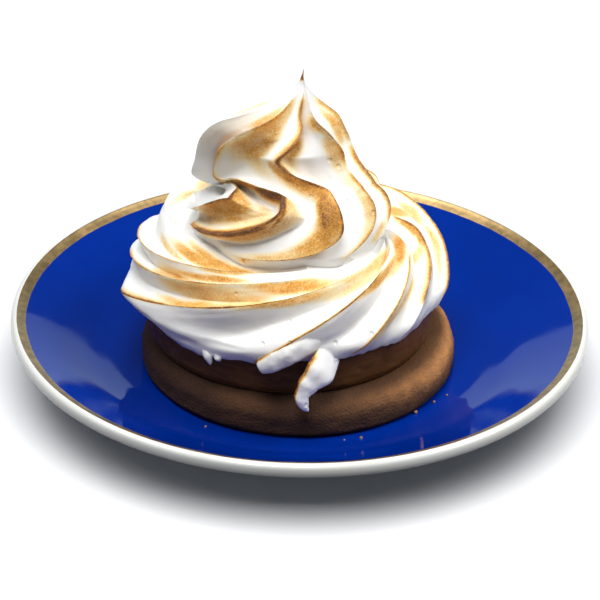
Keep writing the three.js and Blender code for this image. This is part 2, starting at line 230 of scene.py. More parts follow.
UPPER_BLOTS = (
    Blot(0, 0.15, 0.38, 0.4, 0.1, -0.12, 0.5),
    Blot(0, 0.5, 0.27, 0.45, 0.12, -0.22, 0.4),
    Blot(0, 0.7, 0.34, 0.35, 0.12, -0.2, 0.27),
    Blot(0, 0.5, 0.84, 0.25, 0.06, 0, 0.28),
    Blot(0, 0.1, 0.77, 0.3, 0.1, 0, 0.06),
    Blot(1, 0.25, 0.74, 0.36, 0.14, -0.2, 0.38),
    Blot(1, 0.5, 0.65, 0.3, 0.09, -0.2, 0.36),
    Blot(1, 0.15, 0.85, 0.35, 0.06, 0, 0.27),
    Blot(1, 0.22, 0.34, 0.26, 0.17, -0.4, 0.34),
    Blot(1, 0.15, 0.22, 0.28, 0.1, 0, 0.36),
    Blot(1, 0.08, 0.37, 0.13, 0.035, -1, 0.8),
    Blot(1, 0.06, 0.22, 0.06, 0.12, 0, 0.7),
    Blot(1, 0.85, 0.36, 0.2, 0.2, 0, 0.64),
    Blot(1, 0.9, 0.18, 0.2, 0.07, 0, 0.4),
    Blot(1, 0.92, 0.54, 0.14, 0.06, 0, 0.55),
    Blot(1, 0.96, 0.7, 0.1, 0.12, 0, 0.3),
    Blot(2, 0.18, 0.64, 0.3, 0.09, 0.1, 0.45),
    Blot(2, 0.1, 0.66, 0.2, 0.03, 0.15, 0.6),
    Blot(2, 0.42, 0.86, 0.1, 0.04, 0, 0.24),
    Blot(2, 0.95, 0.62, 0.14, 0.1, 0, 0.34),
    Blot(2, 0.9, 0.35, 0.14, 0.18, 0, 0.3),
    Blot(2, 0.05, 0.15, 0.2, 0.06, 0, 0.4),
    Blot(3, 0.84, 0.7, 0.14, 0.12, 0, 0.4),
    # Painted shadow low in this hollow, not toast.
    Blot(3, 0.9, 0.15, 0.12, 0.05, 0, 0.3),
    Blot(4, 0.3, 0.68, 0.3, 0.1, 0, 0.35),
    Blot(4, 0.8, 0.35, 0.25, 0.14, 0, 0.3),
    Blot(5, 0.4, 0.7, 0.35, 0.12, 0, 0.42),
    Blot(5, 0.8, 0.36, 0.25, 0.14, 0, 0.32),
    Blot(6, 0.45, 0.68, 0.35, 0.12, 0, 0.4),
    Blot(6, 0.75, 0.35, 0.3, 0.14, 0, 0.3),
    Blot(7, 0.7, 0.83, 0.3, 0.07, 0, 0.16),
)
LOWER_SCORCHES = (
    Scorch(0, 0.4, 0.85, 0.35, 0.4, 1, 1, 0.25),
    Scorch(1, 0.3, 0.7, 0.4, 0.4, 1, 1, 0.25),
    Scorch(2, 0.1, 0.72, 0.75, 0.4, 1.8, 0.8, 0.35),
    Scorch(3, 0, 0.72, 0.75, 0.4, 0.8, 0.6, 0.3),
    Scorch(4, 0.05, 0.7, 0.45, 0.4, 0.5, 1.5, 0.3),
    Scorch(5, 0.3, 0.95, 0.5, 0.4, 1.5, 0.5, 0.35),
    Scorch(6, 0.1, 0.9, 0.5, 0.4, 1.2, 0.5, 0.35),
    Scorch(7, 0.2, 0.9, 0.45, 0.4, 1.2, 0.5, 0.3),
    Scorch(8, 0.2, 0.5, 0.45, 0.4, 1.2, 0.5, 0.3),
)
LOWER_BLOTS = (
    Blot(0, 0.38, 0.72, 0.2, 0.11, -0.2, 0.45),
    Blot(0, 0.75, 0.55, 0.35, 0.07, -0.15, 0.36),
    Blot(0, 0.05, 0.79, 0.12, 0.08, 0, 0.45),
    Blot(1, 0.4, 0.55, 0.6, 0.13, -0.1, 0.31),
    Blot(1, 0.9, 0.42, 0.15, 0.12, 0, 0.42),
    Blot(1, 0.85, 0.58, 0.25, 0.08, -0.1, 0.34),
    # Partly toast and partly a painted shadow of the upper tier's ring over this hollow.
    Blot(1, 0.3, 0.77, 0.5, 0.1, 0, 0.42),
    Blot(2, 0.1, 0.6, 0.28, 0.12, 0.1, 0.42),
    Blot(2, 0.6, 0.7, 0.5, 0.1, 0.1, 0.2),
    Blot(2, 0.5, 0.88, 0.7, 0.09, 0, 0.36),
    Blot(2, 0.2, 0.78, 0.4, 0.08, 0, 0.26),
    Blot(3, 0.2, 0.68, 0.35, 0.13, 0.3, 0.42),
    Blot(3, 0.7, 0.85, 0.5, 0.13, 0, 0.4),
    Blot(3, 0.6, 0.73, 0.45, 0.09, 0.05, 0.3),
    Blot(4, 0.38, 0.34, 0.42, 0.2, 0.2, 0.3),
    Blot(4, 0.75, 0.64, 0.25, 0.05, 0, 0.33),
    Blot(4, 0.95, 0.7, 0.1, 0.1, 0, 0.45),
    Blot(4, 0.92, 0.83, 0.12, 0.1, 0, 0.5),
    Blot(5, 0.3, 0.87, 0.4, 0.1, -0.4, 0.42),
    Blot(5, 0.8, 0.65, 0.15, 0.1, -0.4, 0.36),
    Blot(5, 0.85, 0.4, 0.08, 0.2, 0, 0.3),
    Blot(6, 0.5, 0.7, 0.5, 0.12, 0.1, 0.35),
    Blot(7, 0.5, 0.65, 0.5, 0.12, 0.1, 0.35),
    Blot(8, 0.55, 0.73, 0.2, 0.06, 0, 0.32),
    Blot(8, 0.45, 0.86, 0.25, 0.08, 0, 0.46),
    Blot(8, 0.45, 0.95, 0.4, 0.07, 0, 0.54),
)
# The peak is burnt from this share of the upper crest line
PEAK_BURNT = 0.98
PEAK_TOAST = 0.9
# How far the toast wanders across a hollow and along it, how uneven it is, where a blot begins to
# fade and has gone, and how softly a scorch ends
WANDER_SEEDS = (21, 33, 45)
WANDER_ACROSS = 0.05
WANDER_ALONG = 0.018
WANDER_TAN = 0.35
BLOT_CORE = 0.4
BLOT_RIM = 1.2
SCORCH_END = 0.035
# The toast attribute also holds the painted shadow of two blots marked above.
TOAST_AND_SHADE = "toast"

# Crumbs on the plate: place and size in millimetres
Crumb = namedtuple("Crumb", "x y size")
CRUMBS = (
    Crumb(31.8, -33.9, 1.1), Crumb(16.9, -47.2, 0.9), Crumb(36.9, -28.3, 0.8),
    Crumb(40.6, -24.6, 0.6), Crumb(12.5, -48.3, 0.6), Crumb(-24.5, -43.2, 0.7),
)

# Soft boxes: the setting that holds the power, then place, aim and size in metres, and colour
SoftBox = namedtuple("SoftBox", "name power place aim size colour")
TART_MIDDLE = (0, 0, 0.04)
PLAIN_LIGHT = (1, 1, 1)
TART_BOXES = (
    SoftBox("key_box", "key_power", (0.75, -0.07, 0.85), TART_MIDDLE, (0.5, 0.5), PLAIN_LIGHT),
    SoftBox("top_box", "top_power", (0, 0, 1.15), TART_MIDDLE, (0.3, 0.2), PLAIN_LIGHT),
    SoftBox("left_box", "left_power", (-0.58, 0.05, 1), TART_MIDDLE, (0.4, 0.4), PLAIN_LIGHT),
    SoftBox("front_box", "front_power", (-0.12, -0.45, 1.1), TART_MIDDLE, (0.5, 0.4), PLAIN_LIGHT),
)
BACKDROP = SoftBox("backdrop", "back_power", (0, 1.2, 0.25), (0, 0, 0.25), (1.8, 0.5), (0.66, 0.84, 1))
TABLE_BOX = SoftBox("table_box", "table_power", (0, -0.32, 1.3), (0, -0.05, 0), (1.6, 1.4), PLAIN_LIGHT)
ROOM_COLOUR = (0.7, 0.8, 1, 1)
TABLE_HALF = 3
TABLE_DROP = 0.1
SENSOR_WIDTH = 36
TINY = 1e-6


# Kinds of setting that a user would change
def count_setting(name, description, default, least):
    return bpy.props.IntProperty(name=name, description=description, default=default, min=least)


def length_setting(name, description, millimetres):
    return bpy.props.FloatProperty(
        name=name, description=description, default=millimetres * MM, unit="LENGTH")


def power_setting(name, description, default):
    return bpy.props.FloatProperty(name=name, description=description, default=default, unit="POWER")


def place_setting(name, description, default):
    return bpy.props.FloatVectorProperty(
        name=name, description=description, default=default, size=len(default), subtype="XYZ", unit="LENGTH")


def colour_setting(name, description, default):
    return bpy.props.FloatVectorProperty(
        name=name, description=description, default=default, subtype="COLOR")


class PlateSettings(bpy.types.PropertyGroup):
    """Sizes and glazes of the side plate"""

    steps: count_setting("Steps round", "Segments round the plate", 240, 32)
    band_inner: length_setting("Band inside", "Inner radius of the gold band", 75.85)
    band_outer: length_setting("Band outside", "Outer radius of the gold band", 78.35)
    cobalt: colour_setting("Cobalt", "Blue glaze of the face", (0.0, 0.021, 0.24))
    gold: colour_setting("Gold", "Fired gold of the band", (0.84, 0.57, 0.25))
    white: colour_setting("White glaze", "Lip and underside", (0.66, 0.665, 0.635))


class TartSettings(bpy.types.PropertyGroup):
    """Sizes and colours of the biscuit and the lemon curd"""

    centre: place_setting("Centre", "Middle of the tart on the plate", (-0.3 * MM, -5 * MM))
    gap: length_setting("Gap", "Clearance between pieces", 0.3)
    biscuit_radius: length_setting("Biscuit radius", "Outside of the biscuit", 43.4)
    biscuit_top: length_setting("Biscuit height", "Top of the biscuit", 11)
    shoulder: length_setting("Shoulder", "Rounding of the biscuit's top edge", 5.4)
    curd_radius: length_setting("Curd radius", "Outside of the curd", 40.4)
    curd_top: length_setting("Curd height", "Top of the curd", 23.4)
    curd_offset: length_setting("Curd offset", "How far the curd sits to the side", -2.8)
    # The pale biscuit is its colour where painted light falls; the dark colour is used towards the foot and
    # as painted shade at the left and beside the curd.
    baked: colour_setting("Baked", "Pale biscuit", (0.42, 0.19, 0.065))
    dark_biscuit_and_shade: colour_setting("Dark baked", "Biscuit near its foot and at the left", (0.05, 0.023, 0.013))
    curd: colour_setting("Curd", "Lemon curd", (0.14, 0.058, 0.013))


class MeringueSettings(bpy.types.PropertyGroup):
    """Detail and colours of the meringue"""

    columns: count_setting("Columns", "Columns between two ridges", 30, 8)
    lower_rows: count_setting("Lower rows", "Rows up the lower tier", 90, 20)
    upper_rows: count_setting("Upper rows", "Rows up the upper tier", 180, 36)
    sharpness: bpy.props.FloatProperty(
        name="Crest sharpness", description="Lower is sharper", default=0.72, subtype="FACTOR")
    streaks: length_setting("Streaks", "Depth of the lines that the nozzle left", 0.16)
    white: colour_setting("White", "Untoasted meringue", (0.9, 0.885, 0.85))
    cream: colour_setting("Cream", "Lightly toasted", (0.86, 0.7, 0.4))
    tan: colour_setting("Tan", "Toasted", (0.69, 0.35, 0.065))
    brown: colour_setting("Brown", "Well toasted", (0.36, 0.15, 0.032))
    burnt: colour_setting("Burnt", "Scorched crests", (0.12, 0.048, 0.018))


class StageSettings(bpy.types.PropertyGroup):
    """Camera and studio light"""

    camera_place: place_setting("Camera", "Place of the camera", (0.0, -0.66017, 0.40091))
    camera_aim: place_setting("Aim", "Point at the middle of the picture", (-0.00004, 0.0, 0.02299))
    roll: bpy.props.FloatProperty(
        name="Roll", description="Turn of the camera about its view", default=math.radians(1.2),
        subtype="ANGLE")
    lens: bpy.props.FloatProperty(name="Lens", description="Focal length in millimetres", default=164.49)
    key_power: power_setting("Key light", "Soft box high at the right", 8.5)
    top_power: power_setting("Top light", "Soft box overhead", 4)
    left_power: power_setting("Left light", "Soft box high at the left", 4)
    front_power: power_setting("Front light", "Soft box high in front", 9)
    back_power: power_setting("Backdrop", "Low pale strip behind, seen in the glaze", 1.9)
    table_power: power_setting("Table light", "Large soft box for the table alone", 36)
    fill: bpy.props.FloatProperty(name="Fill", description="Strength of the room's light", default=0.09)
    floor: colour_setting("Floor", "Pale table", (0.86, 0.86, 0.87))


# Numbers
def metres(millimetres):
    return tuple(length * MM for length in millimetres)


def mix(first, second, share):
    return first + (second - first) * share


def ease(value, start, end):
    share = np.clip((value - start) / (end - start), 0, 1)
    return share * share * (3 - 2 * share)


def inside(value, low, high, soft):
    """1 between two limits and 0 outside, with soft edges."""
    return ease(value, low - soft, low + soft) * (1 - ease(value, high - soft, high + soft))


def swell(distance, spread):
    """1 in the middle, and falling to nothing a few spreads away."""
    return np.exp(-(distance / spread) ** 2)


def place_on(radius, height, degrees, offset):
    """Points at an angle from the front, to the right, as rows of x, y and z."""
    turn = np.radians(degrees)
    return np.stack([offset + radius * np.sin(turn), -radius * np.cos(turn), height], axis=-1)


def unit_rows(rows):
    """Rows of numbers, each row made of length 1."""
    return rows / np.maximum(np.linalg.norm(rows, axis=1), TINY)[:, None]


def outward_from(points, offset):
    """Level directions away from an upright axis that is offset to the side."""
    return unit_rows(points * (1, 1, 0) - (offset, 0, 0))


def degrees_from(points, offset):
    """Angles from the front, about an upright axis that is offset to the side."""
    return np.degrees(np.arctan2(points[:, 0] - offset, -points[:, 1]))


def sampled(at, places, rows):
    """Rows of numbers read off between the places that given rows have."""
    return np.stack([np.interp(at, places, column) for column in rows.T], axis=-1)


def noise_at(points, scale, seed):
    """Smooth noise between about -1 and 1, for rows of x, y and z."""
    shift = Vector((seed, seed * 0.7, seed * 1.3))
    return np.array([noise.noise(Vector(point) * scale + shift) for point in points])


def layered_noise(points, layers):
    """Layers of noise added up, each with its scale, seed and depth."""
    return sum(noise_at(points, scale, seed) * depth for scale, seed, depth in layers)


class CrestLine:
    """Smooth line of radius and height through given points, measured by its length."""

    SAMPLES = 1200

    def __init__(self, points):
        stations = np.array(points, dtype=float)
        last = len(stations) - 1
        place = np.linspace(0, last, self.SAMPLES)
        index = np.minimum(place.astype(int), last - 1)
        share = (place - index)[:, None]
        before = stations[np.maximum(index - 1, 0)]
        start = stations[index]
        end = stations[index + 1]
        after = stations[np.minimum(index + 2, last)]
        leave = (end - before) / 2
        arrive = (after - start) / 2
        cubic = (2 * start - 2 * end + leave + arrive) * share ** 3
        square = (3 * end - 3 * start - 2 * leave - arrive) * share ** 2
        self.points = cubic + square + leave * share + start
        steps = np.linalg.norm(np.diff(self.points, axis=0), axis=1)
        self.along = np.concatenate([[0], np.cumsum(steps)]) / steps.sum()
        tangent = unit_rows(np.gradient(self.points, axis=0))
        self.normals = np.stack([tangent[:, 1], -tangent[:, 0]], axis=-1)

    def at(self, along):
        """Radius, height and the two parts of the outward normal."""
        return sampled(along, self.along, np.hstack([self.points, self.normals])).T

    def evenly(self, count):
        radius, height, _, _ = self.at(np.linspace(0, 1, count))
        return list(zip(radius, height))


# Meshes
def spun(mesh, steps, merge):
    """A mesh of one upright outline, turned about Z into a closed shape."""
    bmesh.ops.spin(mesh, geom=[*mesh.verts, *mesh.edges], cent=(0, 0, 0), axis=(0, 0, 1), angle=math.tau,
                   steps=steps, use_merge=True)
    bmesh.ops.remove_doubles(mesh, verts=mesh.verts, dist=merge)
    bmesh.ops.recalc_face_normals(mesh, faces=mesh.faces)
    return mesh


def lathe(outline, steps):
    """A shape turned from an outline of radius and height that starts and ends on the axis."""
    mesh = bmesh.new()
    corners = [mesh.verts.new((0, -radius, height)) for radius, height in outline]
    for pair in zip(corners, corners[1:]):
        mesh.edges.new(pair)
    return spun(mesh, steps, TINY)


def positions(mesh):
    return np.array([vertex.co for vertex in mesh.verts])


def normals(mesh):
    mesh.normal_update()
    return np.array([vertex.normal for vertex in mesh.verts])


def move_to(mesh, points):
    for vertex, point in zip(mesh.verts, points):
        vertex.co = point
    mesh.normal_update()


def finished(name, mesh, materials, smooth=True):
    """An object at the origin from a bmesh, with its materials."""
    data = bpy.data.meshes.new(name)
    for face in mesh.faces:
        face.smooth = smooth
    mesh.to_mesh(data)
    mesh.free()
    for material in materials:
        data.materials.append(material)
    piece = bpy.data.objects.new(name, data)
    bpy.context.collection.objects.link(piece)
    return piece


def carry(piece, slot, *nodes):
    """The piece rides on the body and stands for CAD nodes."""
    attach(piece, BODY)
    if nodes:
        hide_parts(*nodes)


def push_out(mesh, points, distance):
    """Moves each vertex from its point along its normal."""
    move_to(mesh, points + normals(mesh) * distance[:, None])


# Shader nodes
class Shader:
    """Adds nodes to a material or a node group, and joins them."""

    def __init__(self, tree):
        self.tree = tree

    def add(self, kind, inputs=None, **settings):
        made = self.tree.nodes.new(kind)
        for name, value in settings.items():
            setattr(made, name, value)
        for socket, value in (inputs or {}).items():
            if isinstance(value, bpy.types.NodeSocket):
                self.tree.links.new(value, made.inputs[socket])
            else:
                made.inputs[socket].default_value = value
        return made

    def place(self):
        return self.add("ShaderNodeTexCoord").outputs["Object"]

    def scaled(self, vector, scale):
        return self.add("ShaderNodeMapping", {"Vector": vector, "Scale": scale}).outputs[0]

    def from_axis(self, vector):
        """Distance from the Z axis."""
        flat = self.scaled(vector, (1, 1, 0))
        return self.add("ShaderNodeVectorMath", {0: flat}, operation="LENGTH").outputs["Value"]

    def maths(self, operation, first, second=0.0, third=0.0):
        made = self.add("ShaderNodeMath", {0: first, 1: second, 2: third}, operation=operation)
        return made.outputs[0]

    def spread(self, value, low, high, start=0.0, end=1.0):
        inputs = {"Value": value, "From Min": low, "From Max": high, "To Min": start, "To Max": end}
        return self.add("ShaderNodeMapRange", inputs).outputs[0]

    def speckle(self, vector, scale, detail=2.0, roughness=0.5):
        inputs = {"Vector": vector, "Scale": scale, "Detail": detail, "Roughness": roughness}
        return self.add("ShaderNodeTexNoise", inputs).outputs[0]

    def blend(self, share, first, second):
        """A mix of two colours, each a socket or a plain colour."""
        ends = [end if isinstance(end, bpy.types.NodeSocket) else (*end, 1) for end in (first, second)]
        return self.add("ShaderNodeMix", {0: share, 6: ends[0], 7: ends[1]}, data_type="RGBA").outputs[2]

    def mottled(self, grain, first, second, low=0.3, high=0.7):
        """Clouds of two colours, by a grain that is spread between two limits."""
        return self.blend(self.spread(grain, low, high), first, second)

    def ramp(self, value, stops):
        made = self.add("ShaderNodeValToRGB", {0: value})
        elements = made.color_ramp.elements
        while len(elements) < len(stops):
            elements.new(0.5)
        for element, (place, colour) in zip(elements, stops):
            element.position = place
            element.color = (*colour, 1)
        return made.outputs[0]

    def bump(self, height, distance, strength=1.0):
        inputs = {"Height": height, "Distance": distance, "Strength": strength}
        return self.add("ShaderNodeBump", inputs).outputs[0]


def new_material(name):
    material = bpy.data.materials.new(name)
    material.use_nodes = True
    material.node_tree.nodes.clear()
    return material, Shader(material.node_tree)


def finish_material(shader, sockets):
    """The surface shader, with plain values set on its sockets and what varies linked to them."""
    surface = shader.add("ShaderNodeBsdfPrincipled", sockets)
    shader.add("ShaderNodeOutputMaterial", {"Surface": surface.outputs[0]})


def tinted(colour, tints):
    """A colour times three tints, or times one shade."""
    return tuple(np.multiply(colour, tints))


def grain_group():
    """Shared crumbly grain: a height, and a mottling between 0 and 1."""
    name = "Grain"
    if name in bpy.data.node_groups:
        return bpy.data.node_groups[name]
    group = bpy.data.node_groups.new(name, "ShaderNodeTree")
    group.interface.new_socket("Vector", in_out="INPUT", socket_type="NodeSocketVector")
    group.interface.new_socket("Scale", in_out="INPUT", socket_type="NodeSocketFloat")
    group.interface.new_socket("Height", in_out="OUTPUT", socket_type="NodeSocketFloat")
    group.interface.new_socket("Mottle", in_out="OUTPUT", socket_type="NodeSocketFloat")
    shader = Shader(group)
    source = shader.add("NodeGroupInput").outputs
    vector = source["Vector"]
    scale = source["Scale"]
    fine = shader.speckle(vector, scale, 4, 0.65)
    coarse = shader.speckle(vector, shader.maths("MULTIPLY", scale, 0.16), 3, 0.55)
    pits = shader.add("ShaderNodeTexVoronoi", {"Vector": vector, "Scale": scale}).outputs[0]
    height = shader.maths("MULTIPLY_ADD", pits, 0.5, fine)
    mottle = shader.maths("MULTIPLY_ADD", coarse, 0.6, shader.maths("MULTIPLY", fine, 0.4))
    shader.add("NodeGroupOutput", {"Height": height, "Mottle": mottle})
    return group


def place_grain(shader, vector, scale):
    grain = shader.add("ShaderNodeGroup", {"Vector": vector, "Scale": scale}, node_tree=grain_group())
    return grain.outputs["Height"], grain.outputs["Mottle"]


# Plate
def face_glaze(settings):
    """Cobalt glaze with a fired gold band."""
    material, shader = new_material("cobalt_glaze")
    place = shader.place()
    waver = shader.maths("MULTIPLY_ADD", shader.speckle(place, 60, 3), BAND_WAVER * MM, -BAND_WAVER / 2 * MM)
    edge = shader.maths("ADD", shader.from_axis(place), waver)
    band = shader.spread(edge, settings.band_inner - BAND_BLUR * MM, settings.band_inner + BAND_BLUR * MM)
    blue = shader.mottled(shader.speckle(place, 28, 3), tinted(settings.cobalt, 0.82), settings.cobalt)
    wear = shader.speckle(place, 420, 4, 0.6)
    gold = shader.mottled(wear, tinted(settings.gold, 0.62), settings.gold, 0.35, 0.65)
    smear = shader.spread(shader.speckle(place, 90, 4), 0.45, 0.75, 0.06, 0.16)
    finish_material(shader, {
        "Base Color": shader.blend(band, blue, gold),
        "Metallic": band,
        "Roughness": shader.maths("MULTIPLY_ADD", band, 0.3, smear),
        "Normal": shader.bump(shader.speckle(place, 70, 1), 0.12 * MM, 0.35),
        "IOR": 1.45,
        "Specular IOR Level": 0.5,
    })
    return material


def white_glaze(settings):
    material, shader = new_material("white_glaze")
    place = shader.place()
    warm = tinted(settings.white, (1.0, 0.985, 0.95))
    finish_material(shader, {
        "Base Color": shader.mottled(shader.speckle(place, 45, 4), settings.white, warm, 0.35),
        "Roughness": shader.spread(shader.speckle(place, 120, 3), 0.3, 0.7, 0.1, 0.22),
        "Normal": shader.bump(shader.speckle(place, 90, 1), 0.1 * MM, 0.3),
        "IOR": 1.5,
    })
    return material


class TART_OT_plate(bpy.types.Operator):
    """Turn the side plate and glaze its face, band, lip and underside"""

    bl_idname = "tart.plate"
    bl_label = "Side plate"

    def execute(self, context):
        settings = context.scene.tart_plate
        foot = PLATE_UNDERSIDE[:PLATE_FOOT_POINTS]
        under = CrestLine(PLATE_UNDERSIDE[PLATE_FOOT_POINTS:] + PLATE_LIP[:1]).evenly(UNDERSIDE_ROWS)
        lip = CrestLine(PLATE_UNDERSIDE[-1:] + PLATE_LIP).evenly(LIP_ROWS)
        face = CrestLine(PLATE_LIP[-1:] + PLATE_FACE).evenly(FACE_ROWS)
        outline = [*foot, *under[:-LIP_JOINT], *lip[LIP_JOINT:], *face[1:], (0, WELL_TOP)]
        mesh = lathe([(radius * MM, height * MM) for radius, height in outline], settings.steps)
        for item in mesh.faces:
            within = item.calc_center_median().xy.length < settings.band_outer
            item.material_index = 0 if within and item.normal.z > 0.2 else 1
        plate = finished("side_plate", mesh, [face_glaze(settings), white_glaze(settings)])
        carry(plate, "glazed_plate", "plate")
        return {"FINISHED"}


# Biscuit and curd
def rounded_edge(radius, top, size, steps):
    """Quarter round from the outside of a rim to its top."""
    turns = np.linspace(0, math.pi / 2, steps + 1)
    return [(radius - size * (1 - math.cos(turn)), top - size + size * math.sin(turn)) for turn in turns]


def on_tart(mesh, settings, sideways=0.0):
    """Moves a piece from the tart's own place to the plate's well."""
    shift = Vector((settings.centre[0] + sideways, settings.centre[1], WELL_TOP * MM))
    bmesh.ops.translate(mesh, verts=mesh.verts, vec=shift)


def divided(outline, longest):
    """The outline with its long runs cut into shorter ones."""
    points = [outline[0]]
    for start, end in zip(outline, outline[1:]):
        cuts = max(1, math.ceil(math.dist(start, end) / longest))
        points += [tuple(mix(np.array(start), np.array(end), step / cuts)) for step in range(1, cuts + 1)]
    return points


def biscuit_finish(settings):
    """Crumbly biscuit, darker towards its foot, with painted shade at the left, painted light at the right
    and a darker ring beside the curd, partly moist and partly painted shade.
    """
    material, shader = new_material("baked_biscuit")
    place = shader.place()
    height, mottle = place_grain(shader, place, 1500)
    spot = shader.add("ShaderNodeSeparateXYZ", {0: place}).outputs
    colour = shader.mottled(mottle, settings.baked, tinted(settings.baked, 1.35), 0.38, 0.62)
    # Darker below the first height and paler above the second.
    ragged = shader.maths("MULTIPLY_ADD", mottle, 5 * MM, spot["Z"])
    darker_low = shader.spread(ragged, *metres(DARK_FOOT_HEIGHTS))
    colour = shader.blend(darker_low, settings.dark_biscuit_and_shade, colour)
    flecks = shader.spread(shader.speckle(place, 2600, 3, 0.6), 0.58, 0.7, 0, 0.35)
    colour = shader.blend(flecks, colour, DARK_FLECK)
    # Painted shade at the left and painted light at the right, with a painted pool of light left of the
    # middle.
    painted_side_light = shader.maths("POWER", shader.spread(spot["X"], *metres(PAINTED_SHADE_SIDES)), PAINTED_SHADE_STEEPNESS)
    from_painted_glow = shader.maths("ABSOLUTE", shader.maths("SUBTRACT", spot["X"], PAINTED_LIGHT_PATCH.middle * MM))
    painted_glow = shader.spread(from_painted_glow, PAINTED_LIGHT_PATCH.outer * MM, PAINTED_LIGHT_PATCH.inner * MM, 0, PAINTED_LIGHT_PATCH.strength)
    colour = shader.blend(shader.maths("MAXIMUM", painted_side_light, painted_glow), settings.dark_biscuit_and_shade, colour)
    # A darker ring beside the curd, partly moisture and partly painted contact shade from the curd.
    about = shader.add("ShaderNodeVectorMath", {0: place, 1: (*settings.centre, 0)}, operation="SUBTRACT")
    radius = shader.maths("MULTIPLY_ADD", mottle, 2 * MM, shader.from_axis(about.outputs[0]))
    moist_and_shaded = shader.spread(radius, *metres(MOIST_AND_SHADED_RING), 0, MOISTNESS_AND_SHADE)
    finish_material(shader, {
        "Base Color": shader.blend(moist_and_shaded, colour, settings.dark_biscuit_and_shade),
        "Roughness": shader.spread(mottle, 0.3, 0.7, 0.62, 0.9),
        "Normal": shader.bump(height, 0.35 * MM),
        "Specular IOR Level": 0.18,
    })
    return material


class TART_OT_biscuit(bpy.types.Operator):
    """Turn the thick biscuit base and roughen it"""

    bl_idname = "tart.biscuit"
    bl_label = "Biscuit base"

    def execute(self, context):
        settings = context.scene.tart_bake
        radius = settings.biscuit_radius
        top = settings.biscuit_top
        toe = BISCUIT_TOE * MM
        wall = [(radius - toe, settings.gap), (radius, settings.gap + toe)]
        wall += rounded_edge(radius, top, settings.shoulder, 12)
        wall += [(radius - BISCUIT_RIM * MM, top)]
        mesh = lathe([(0, settings.gap), *divided(wall, BISCUIT_RUN * MM), (0, top)], BISCUIT_STEPS)
        points = positions(mesh)
        from_axis = np.hypot(points[:, 0], points[:, 1])
        free = ease(points[:, 2], *metres(BISCUIT_FREE_ABOVE))
        free *= ease(from_axis, *metres(BISCUIT_FREE_BEYOND))
        push_out(mesh, points, (layered_noise(points, BISCUIT_LUMPS) - BISCUIT_SINK) * free * MM)
        on_tart(mesh, settings)
        biscuit = finished("biscuit_base", mesh, [biscuit_finish(settings)])
        carry(biscuit, "baked_biscuit", "crust")
        return {"FINISHED"}


def curd_finish(settings):
    """Satin curd with paler level streaks."""
    material, shader = new_material("lemon_curd")
    place = shader.place()
    deep = tinted(settings.curd, (0.75, 0.7, 0.65))
    colour = shader.mottled(shader.speckle(place, 160, 4, 0.6), deep, settings.curd)
    level = shader.speckle(shader.scaled(place, (1, 1, 4)), 220, 3)
    finish_material(shader, {
        "Base Color": shader.blend(shader.spread(level, 0.5, 0.75, 0, 0.16), colour, CURD_STREAK),
        "Roughness": shader.spread(shader.speckle(place, 700, 3), 0.3, 0.7, 0.38, 0.6),
        "Normal": shader.bump(shader.speckle(place, 450, 4), 0.25 * MM, 0.7),
        "Subsurface Weight": 0.35,
        "Subsurface Radius": (0.004, 0.002, 0.0006),
        "Subsurface Scale": 1.0,
        "Specular IOR Level": 0.12,
    })
    return material


class TART_OT_curd(bpy.types.Operator):
    """Turn the layer of lemon curd"""

    bl_idname = "tart.curd"
    bl_label = "Lemon curd"

    def execute(self, context):
        settings = context.scene.tart_bake
        radius = settings.curd_radius
        top = settings.curd_top
        bottom = settings.biscuit_top + settings.gap
        undercut = CURD_UNDERCUT * MM
        wall = [(radius - undercut, bottom), (radius - undercut / 2, bottom + CURD_FOOT * MM)]
        wall += rounded_edge(radius, top, CURD_EDGE * MM, 6)
        wall += [(radius - CURD_RIM * MM, top)]
        mesh = lathe([(0, bottom), *divided(wall, CURD_RUN * MM), (0, top)], CURD_STEPS)
        points = positions(mesh)
        above_foot = ease(points[:, 2], bottom, bottom + CURD_FREE_FOOT * MM)
        free = above_foot * (1 - ease(points[:, 2], *metres(CURD_FREE_BELOW)))
        bulge = layered_noise(points * (1, 1, 0.5), [CURD_BULGE]) + layered_noise(points, [CURD_RIPPLE])
        push_out(mesh, points, (bulge - CURD_SINK) * free * MM)
        on_tart(mesh, settings, settings.curd_offset)
        curd = finished("curd_layer", mesh, [curd_finish(settings)])
        carry(curd, "set_curd", "lemon_curd")
        return {"FINISHED"}


